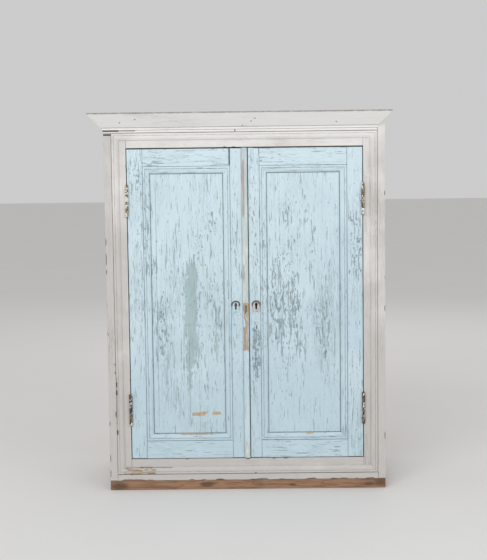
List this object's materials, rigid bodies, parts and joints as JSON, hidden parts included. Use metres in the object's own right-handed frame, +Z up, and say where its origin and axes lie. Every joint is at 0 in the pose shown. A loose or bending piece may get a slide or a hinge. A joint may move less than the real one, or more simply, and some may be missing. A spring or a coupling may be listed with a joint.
{
  "type": "pantry cabinet",
  "caption": "Painted pine cupboard on a low base, with framed and panelled doors that swing open on butt hinges, shelves inside and a sloped cornice.",
  "frame": {"origin": "on the floor, in the middle of the whole outline, cornice included", "axes": "+Z up, the doors face -Y, +X to the right seen from the front"},
  "size_m": [0.848, 0.421, 1.076],
  "materials": {
    "cream_paint": "old off-white oil paint on pine, satin, chipped",
    "blue_paint": "old duck-egg blue oil paint on pine, crackled and rubbed",
    "bare_pine": "bare aged pine, reddish brown",
    "inner_pine": "unpainted old pine, oiled",
    "hinge_brass": "tarnished brass with paint in the joints",
    "dark_iron": "blackened iron, worn at edges"
  },
  "bodies": {
    "carcass": {"back_boards": "inner_pine", "base_back": "bare_pine", "base_front": "bare_pine", "base_left": "bare_pine", "base_right": "bare_pine", "bolt_keepers": "dark_iron", "bottom_board": "inner_pine", "cornice_front": "cream_paint", "cornice_return_left": "cream_paint", "cornice_return_right": "cream_paint", "door_stops": "inner_pine", "frame_hinge_leaves": "hinge_brass", "frame_moulding_bottom": "cream_paint", "frame_moulding_left": "cream_paint", "frame_moulding_right": "cream_paint", "frame_moulding_top": "cream_paint", "frame_rail_bottom": "cream_paint", "frame_rail_top": "cream_paint", "frame_screws": "dark_iron", "frame_stile_left": "cream_paint", "frame_stile_right": "cream_paint", "header_board": "cream_paint", "hinge_pins": "hinge_brass", "shelf_battens": "inner_pine", "shelf_lower": "inner_pine", "shelf_upper": "inner_pine", "side_left": "cream_paint", "side_right": "cream_paint", "top_board": "cream_paint"},
    "left_door": {"left_door_bottom_rail": "blue_paint", "left_door_hinge_leaves": "hinge_brass", "left_door_hinge_stile": "blue_paint", "left_door_meeting_stile": "blue_paint", "left_door_moulding_bottom": "blue_paint", "left_door_moulding_left": "blue_paint", "left_door_moulding_right": "blue_paint", "left_door_moulding_top": "blue_paint", "left_door_panel": "blue_paint", "left_door_screws": "dark_iron", "left_door_top_rail": "blue_paint", "left_keyhole_plate": "hinge_brass", "meeting_bead": "blue_paint", "bolt_plates": "dark_iron"},
    "right_door": {"right_door_bottom_rail": "blue_paint", "right_door_hinge_leaves": "hinge_brass", "right_door_hinge_stile": "blue_paint", "right_door_meeting_stile": "blue_paint", "right_door_moulding_bottom": "blue_paint", "right_door_moulding_left": "blue_paint", "right_door_moulding_right": "blue_paint", "right_door_moulding_top": "blue_paint", "right_door_panel": "blue_paint", "right_door_screws": "dark_iron", "right_door_top_rail": "blue_paint", "right_keyhole_plate": "hinge_brass", "lock_case": "dark_iron"},
    "top_bolt_body": {"top_bolt": "dark_iron"},
    "bottom_bolt_body": {"bottom_bolt": "dark_iron"},
    "latch_body": {"lock_latch": "dark_iron"}
  },
  "joints": [
    {"name": "left_door_hinge", "type": "hinge", "parent": "carcass", "child": "left_door", "pos_m": [-0.3208, -0.1662, 0.5335], "axis": [0, 0, -1], "range_deg": [0, 165]},
    {"name": "right_door_hinge", "type": "hinge", "parent": "carcass", "child": "right_door", "pos_m": [0.3448, -0.1662, 0.5335], "axis": [0, 0, 1], "range_deg": [0, 165]},
    {"name": "top_bolt_slide", "type": "slide", "parent": "left_door", "child": "top_bolt_body", "axis": [0, 0, 1], "range_m": [0, 0.018]},
    {"name": "bottom_bolt_slide", "type": "slide", "parent": "left_door", "child": "bottom_bolt_body", "axis": [0, 0, -1], "range_m": [0, 0.018]},
    {"name": "lock_latch_slide", "type": "slide", "parent": "right_door", "child": "latch_body", "axis": [-1, 0, 0], "range_m": [0, 0.008]}
  ]
}
